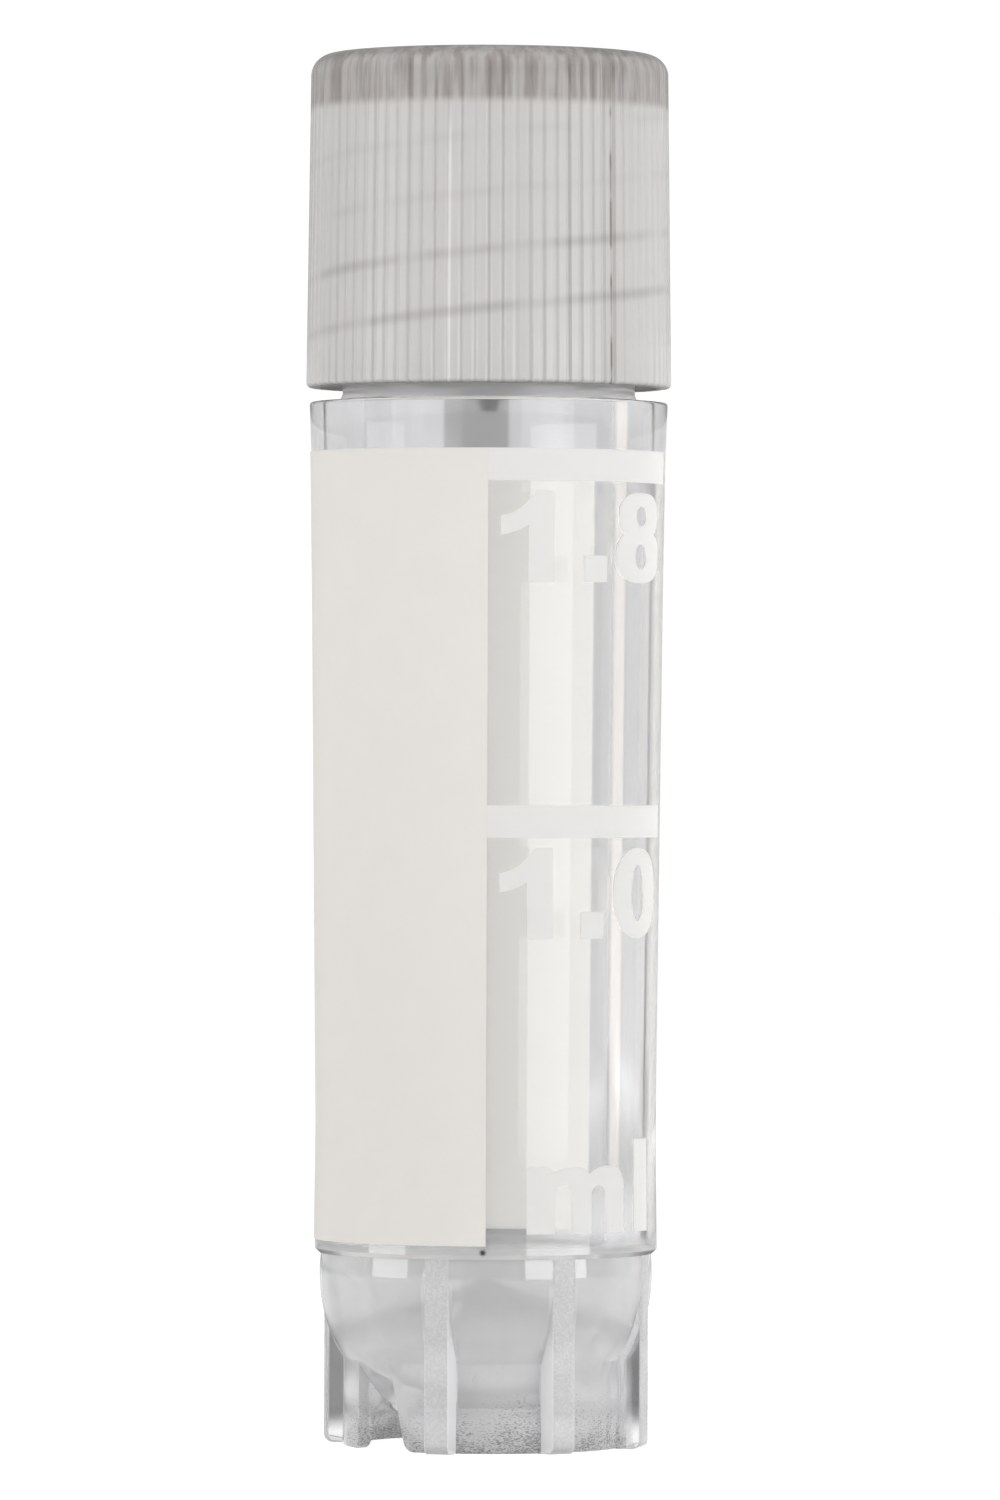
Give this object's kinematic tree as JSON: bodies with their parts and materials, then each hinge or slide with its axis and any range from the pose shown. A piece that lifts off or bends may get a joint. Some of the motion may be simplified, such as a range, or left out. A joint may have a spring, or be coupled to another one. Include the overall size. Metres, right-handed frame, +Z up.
{
  "type": "cryovial",
  "caption": "Self-standing cryogenic sample vial: a clear tapered tube with a writing patch, a volume scale and a ribbed locking foot, closed by a knurled screw cap.",
  "frame": {"origin": "centre of the foot on the surface the vial stands on", "axes": "+Z up along the tube's axis; -Y is the front, where the writing patch meets the volume scale; +X is to the right of the front"},
  "size_m": [0.0128, 0.0128, 0.0485],
  "materials": {
    "tube_plastic": "natural translucent polypropylene, moulded glossy, finely frosted at the foot",
    "patch_ink": "matt off-white screen print that takes a pen",
    "scale_ink": "semi-matt white screen print",
    "washer_rubber": "smooth translucent white silicone",
    "cap_plastic": "natural translucent polyolefin, milky, with fine moulded grip ridges"
  },
  "bodies": {
    "tube": {"tube": "tube_plastic", "writing_patch": "patch_ink", "graduation_marks": "scale_ink"},
    "washer": {"seal_washer": "washer_rubber"},
    "cap": {"cap": "cap_plastic"}
  },
  "joints": [
    {"name": "cap_lift", "type": "slide", "parent": "tube", "child": "washer", "axis": [0, 0, 1], "range_m": [0, 0.012]},
    {"name": "cap_turn", "type": "hinge", "parent": "washer", "child": "cap", "pos_m": [0, 0, 0.0469], "axis": [0, 0, 1], "range_deg": [0, 1080]}
  ],
  "couplings": [
    {"joint": "cap_turn", "follows": "cap_lift", "rad_per_m": 1570.8}
  ]
}
